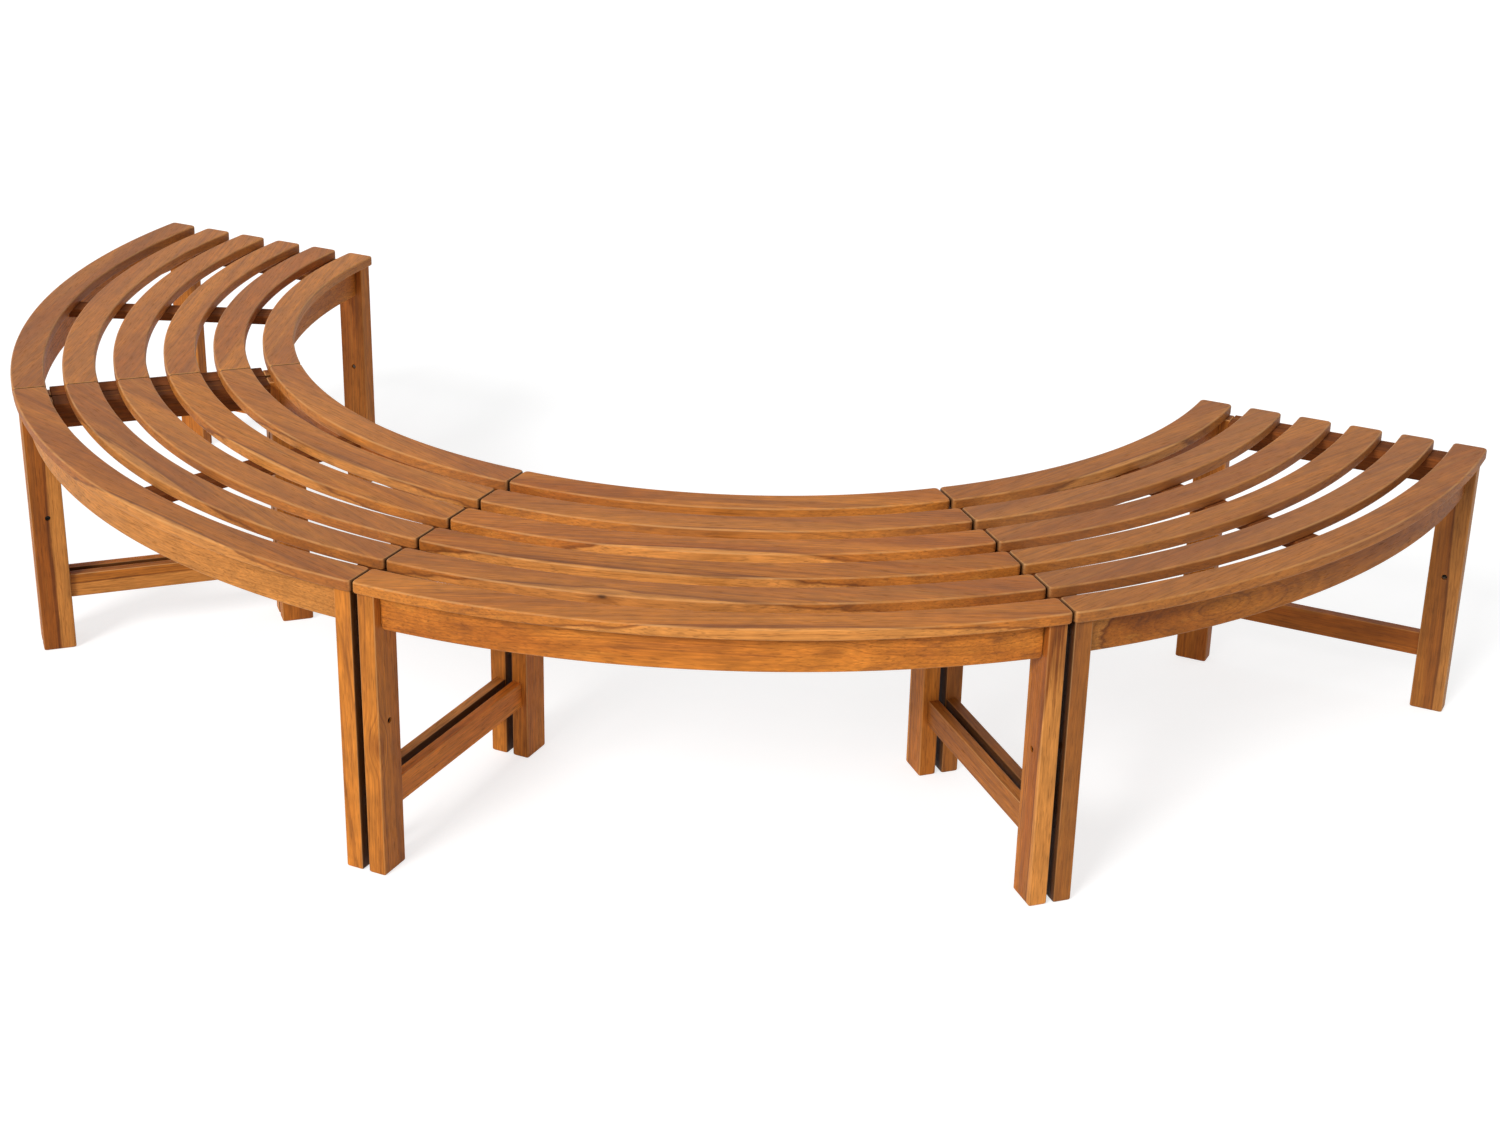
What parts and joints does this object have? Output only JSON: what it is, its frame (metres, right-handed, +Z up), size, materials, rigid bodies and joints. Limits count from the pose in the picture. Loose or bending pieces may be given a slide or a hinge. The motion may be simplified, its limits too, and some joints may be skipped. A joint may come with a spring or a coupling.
{
  "type": "curved garden bench",
  "caption": "Backless half-ring garden bench of oiled teak in bolted curved segments, with concentric slats over curved aprons and legged end frames, made to stand round a tree.",
  "frame": {"origin": "on the ground, under the middle of the bench's box", "axes": "+Z up; +Y towards the open side of the half ring, where the tree stands; +X to the right end as seen from the outer side"},
  "size_m": [2.5198, 1.2589, 0.45],
  "materials": {
    "seat_slat": "sanded, oiled teak, satin",
    "leg": "sanded, oiled teak, satin",
    "apron": "sanded, oiled teak, satin",
    "cleat": "planed teak, matt",
    "bolt": "turned steel"
  },
  "bodies": {
    "root": {"segment_1_slat_1": "seat_slat", "segment_1_slat_2": "seat_slat", "segment_1_slat_3": "seat_slat", "segment_1_slat_4": "seat_slat", "segment_1_slat_5": "seat_slat", "segment_1_slat_6": "seat_slat", "segment_1_outer_apron": "apron", "segment_1_inner_apron": "apron", "segment_1_middle_cleat": "cleat", "segment_1_outer_leg_left": "leg", "segment_1_inner_frame_left": "leg", "segment_1_outer_leg_right": "leg", "segment_1_inner_frame_right": "leg", "segment_2_slat_1": "seat_slat", "segment_2_slat_2": "seat_slat", "segment_2_slat_3": "seat_slat", "segment_2_slat_4": "seat_slat", "segment_2_slat_5": "seat_slat", "segment_2_slat_6": "seat_slat", "segment_2_outer_apron": "apron", "segment_2_inner_apron": "apron", "segment_2_middle_cleat": "cleat", "segment_2_outer_leg_left": "leg", "segment_2_inner_frame_left": "leg", "segment_2_outer_leg_right": "leg", "segment_2_inner_frame_right": "leg", "segment_3_slat_1": "seat_slat", "segment_3_slat_2": "seat_slat", "segment_3_slat_3": "seat_slat", "segment_3_slat_4": "seat_slat", "segment_3_slat_5": "seat_slat", "segment_3_slat_6": "seat_slat", "segment_3_outer_apron": "apron", "segment_3_inner_apron": "apron", "segment_3_middle_cleat": "cleat", "segment_3_outer_leg_left": "leg", "segment_3_inner_frame_left": "leg", "segment_3_outer_leg_right": "leg", "segment_3_inner_frame_right": "leg", "segment_4_slat_1": "seat_slat", "segment_4_slat_2": "seat_slat", "segment_4_slat_3": "seat_slat", "segment_4_slat_4": "seat_slat", "segment_4_slat_5": "seat_slat", "segment_4_slat_6": "seat_slat", "segment_4_outer_apron": "apron", "segment_4_inner_apron": "apron", "segment_4_middle_cleat": "cleat", "segment_4_outer_leg_left": "leg", "segment_4_inner_frame_left": "leg", "segment_4_outer_leg_right": "leg", "segment_4_inner_frame_right": "leg", "joint_1_2_outer_bolt": "bolt", "joint_1_2_inner_bolt": "bolt", "joint_2_3_outer_bolt": "bolt", "joint_2_3_inner_bolt": "bolt", "joint_3_4_outer_bolt": "bolt", "joint_3_4_inner_bolt": "bolt"}
  },
  "joints": []
}
